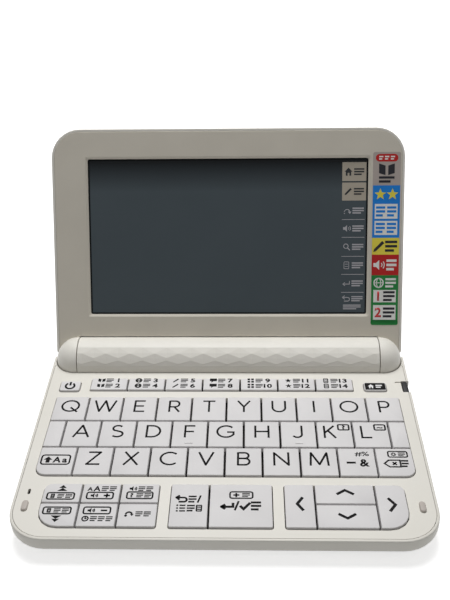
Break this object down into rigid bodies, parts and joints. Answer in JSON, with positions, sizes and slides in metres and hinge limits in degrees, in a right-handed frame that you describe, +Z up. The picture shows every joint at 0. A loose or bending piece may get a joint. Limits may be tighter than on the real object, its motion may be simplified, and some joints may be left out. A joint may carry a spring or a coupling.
{
  "type": "electronic dictionary",
  "caption": "Pocket clamshell electronic dictionary: screen lid on a faceted hinge barrel that holds the cells, typing keys below, stylus clipped in the right side.",
  "frame": {"origin": "below the middle of the part's box at rest, on the surface it stands on", "axes": "+X to the user's right along the hinge, +Y to the rear, +Z up; the lid stands open at rest"},
  "size_m": [0.148, 0.145, 0.0945],
  "materials": {
    "ivory_plastic": "moulded, faint satin",
    "key_plastic": "satin with printed legends",
    "bezel_plastic": "fine matt grain",
    "window_glass": "dark, polished",
    "lcd_glass": "dark",
    "diffuser_plastic": "milky",
    "circuit_board": "solder mask",
    "plate_steel": "plain sheet",
    "mat_rubber": "matt silicone",
    "dark_plastic": "satin",
    "socket_metal": "pressed shell",
    "bumper_rubber": "matt",
    "foot_rubber": "matt",
    "screw_steel": "plated",
    "pin_steel": "ground",
    "clutch_metal": "die cast",
    "contact_metal": "nickel plated",
    "cell_sleeve": "printed film over the can",
    "flex_film": "amber film"
  },
  "bodies": {
    "base": {"bottom_case": "ivory_plastic", "keyboard_deck": "ivory_plastic", "barrel_shell": "ivory_plastic", "battery_cells": "cell_sleeve", "battery_contacts": "contact_metal", "main_board": "circuit_board", "key_support_plate": "plate_steel", "key_mat": "mat_rubber", "blank_key_caps": "key_plastic", "speaker": "dark_plastic", "microphone": "dark_plastic", "headphone_jack": "dark_plastic", "usb_socket": "socket_metal", "card_socket": "socket_metal", "lid_bumpers": "bumper_rubber", "rubber_feet": "foot_rubber", "case_screws": "screw_steel", "hinge_clutches": "clutch_metal"},
    "lid": {"lid_back_cover": "ivory_plastic", "lid_bezel": "bezel_plastic", "display_window": "window_glass", "lcd_panel": "lcd_glass", "backlight": "diffuser_plastic", "display_board": "circuit_board", "display_flex_cable": "flex_film", "hinge_cap_left": "ivory_plastic", "hinge_cap_right": "ivory_plastic", "hinge_pins": "pin_steel", "lid_screws": "screw_steel"},
    "battery_cover": {"battery_cover": "ivory_plastic"},
    "stylus": {"stylus_barrel": "ivory_plastic", "stylus_ends": "dark_plastic"},
    "power_key": {"power_key": "key_plastic"},
    "home_key": {"home_key": "key_plastic"},
    "dictionary_key_1": {"dictionary_key_1": "key_plastic"},
    "dictionary_key_2": {"dictionary_key_2": "key_plastic"},
    "dictionary_key_3": {"dictionary_key_3": "key_plastic"},
    "dictionary_key_4": {"dictionary_key_4": "key_plastic"},
    "dictionary_key_5": {"dictionary_key_5": "key_plastic"},
    "dictionary_key_6": {"dictionary_key_6": "key_plastic"},
    "dictionary_key_7": {"dictionary_key_7": "key_plastic"},
    "shift_key": {"shift_key": "key_plastic"},
    "symbol_key": {"symbol_key": "key_plastic"},
    "delete_key": {"delete_key": "key_plastic"},
    "page_up_key": {"page_up_key": "key_plastic"},
    "page_down_key": {"page_down_key": "key_plastic"},
    "text_size_key": {"text_size_key": "key_plastic"},
    "history_key": {"history_key": "key_plastic"},
    "guide_key": {"guide_key": "key_plastic"},
    "jump_key": {"jump_key": "key_plastic"},
    "back_key": {"back_key": "key_plastic"},
    "enter_key": {"enter_key": "key_plastic"},
    "left_key": {"left_key": "key_plastic"},
    "up_key": {"up_key": "key_plastic"},
    "down_key": {"down_key": "key_plastic"},
    "right_key": {"right_key": "key_plastic"},
    "letter_row_top": {"letter_row_top": "key_plastic"},
    "letter_row_middle": {"letter_row_middle": "key_plastic"},
    "letter_row_bottom": {"letter_row_bottom": "key_plastic"}
  },
  "joints": [
    {"name": "lid_hinge", "type": "hinge", "parent": "base", "child": "lid", "pos_m": [0, 0.02376, 0.0094], "axis": [1, 0, 0], "range_deg": [-33, 117]},
    {"name": "battery_cover_slide", "type": "slide", "parent": "base", "child": "battery_cover", "axis": [0, 1, 0], "range_m": [0, 0.014]},
    {"name": "stylus_slide", "type": "slide", "parent": "base", "child": "stylus", "axis": [1, 0, 0], "range_m": [0, 0.012]},
    {"name": "power_key_press", "type": "slide", "parent": "base", "child": "power_key", "axis": [0, 0, -1], "range_m": [0, 0.0007], "stiffness_N_per_m": 800},
    {"name": "home_key_press", "type": "slide", "parent": "base", "child": "home_key", "axis": [0, 0, -1], "range_m": [0, 0.0007], "stiffness_N_per_m": 800},
    {"name": "dictionary_key_1_press", "type": "slide", "parent": "base", "child": "dictionary_key_1", "axis": [0, 0, -1], "range_m": [0, 0.0007], "stiffness_N_per_m": 800},
    {"name": "dictionary_key_2_press", "type": "slide", "parent": "base", "child": "dictionary_key_2", "axis": [0, 0, -1], "range_m": [0, 0.0007], "stiffness_N_per_m": 800},
    {"name": "dictionary_key_3_press", "type": "slide", "parent": "base", "child": "dictionary_key_3", "axis": [0, 0, -1], "range_m": [0, 0.0007], "stiffness_N_per_m": 800},
    {"name": "dictionary_key_4_press", "type": "slide", "parent": "base", "child": "dictionary_key_4", "axis": [0, 0, -1], "range_m": [0, 0.0007], "stiffness_N_per_m": 800},
    {"name": "dictionary_key_5_press", "type": "slide", "parent": "base", "child": "dictionary_key_5", "axis": [0, 0, -1], "range_m": [0, 0.0007], "stiffness_N_per_m": 800},
    {"name": "dictionary_key_6_press", "type": "slide", "parent": "base", "child": "dictionary_key_6", "axis": [0, 0, -1], "range_m": [0, 0.0007], "stiffness_N_per_m": 800},
    {"name": "dictionary_key_7_press", "type": "slide", "parent": "base", "child": "dictionary_key_7", "axis": [0, 0, -1], "range_m": [0, 0.0007], "stiffness_N_per_m": 800},
    {"name": "shift_key_press", "type": "slide", "parent": "base", "child": "shift_key", "axis": [0, 0, -1], "range_m": [0, 0.0007], "stiffness_N_per_m": 800},
    {"name": "symbol_key_press", "type": "slide", "parent": "base", "child": "symbol_key", "axis": [0, 0, -1], "range_m": [0, 0.0007], "stiffness_N_per_m": 800},
    {"name": "delete_key_press", "type": "slide", "parent": "base", "child": "delete_key", "axis": [0, 0, -1], "range_m": [0, 0.0007], "stiffness_N_per_m": 800},
    {"name": "page_up_key_press", "type": "slide", "parent": "base", "child": "page_up_key", "axis": [0, 0, -1], "range_m": [0, 0.0007], "stiffness_N_per_m": 800},
    {"name": "page_down_key_press", "type": "slide", "parent": "base", "child": "page_down_key", "axis": [0, 0, -1], "range_m": [0, 0.0007], "stiffness_N_per_m": 800},
    {"name": "text_size_key_press", "type": "slide", "parent": "base", "child": "text_size_key", "axis": [0, 0, -1], "range_m": [0, 0.0007], "stiffness_N_per_m": 800},
    {"name": "history_key_press", "type": "slide", "parent": "base", "child": "history_key", "axis": [0, 0, -1], "range_m": [0, 0.0007], "stiffness_N_per_m": 800},
    {"name": "guide_key_press", "type": "slide", "parent": "base", "child": "guide_key", "axis": [0, 0, -1], "range_m": [0, 0.0007], "stiffness_N_per_m": 800},
    {"name": "jump_key_press", "type": "slide", "parent": "base", "child": "jump_key", "axis": [0, 0, -1], "range_m": [0, 0.0007], "stiffness_N_per_m": 800},
    {"name": "back_key_press", "type": "slide", "parent": "base", "child": "back_key", "axis": [0, 0, -1], "range_m": [0, 0.0007], "stiffness_N_per_m": 800},
    {"name": "enter_key_press", "type": "slide", "parent": "base", "child": "enter_key", "axis": [0, 0, -1], "range_m": [0, 0.0007], "stiffness_N_per_m": 800},
    {"name": "left_key_press", "type": "slide", "parent": "base", "child": "left_key", "axis": [0, 0, -1], "range_m": [0, 0.0007], "stiffness_N_per_m": 800},
    {"name": "up_key_press", "type": "slide", "parent": "base", "child": "up_key", "axis": [0, 0, -1], "range_m": [0, 0.0007], "stiffness_N_per_m": 800},
    {"name": "down_key_press", "type": "slide", "parent": "base", "child": "down_key", "axis": [0, 0, -1], "range_m": [0, 0.0007], "stiffness_N_per_m": 800},
    {"name": "right_key_press", "type": "slide", "parent": "base", "child": "right_key", "axis": [0, 0, -1], "range_m": [0, 0.0007], "stiffness_N_per_m": 800},
    {"name": "letter_row_top_press", "type": "slide", "parent": "base", "child": "letter_row_top", "axis": [0, 0, -1], "range_m": [0, 0.0007], "stiffness_N_per_m": 8000},
    {"name": "letter_row_middle_press", "type": "slide", "parent": "base", "child": "letter_row_middle", "axis": [0, 0, -1], "range_m": [0, 0.0007], "stiffness_N_per_m": 7200},
    {"name": "letter_row_bottom_press", "type": "slide", "parent": "base", "child": "letter_row_bottom", "axis": [0, 0, -1], "range_m": [0, 0.0007], "stiffness_N_per_m": 5600}
  ]
}
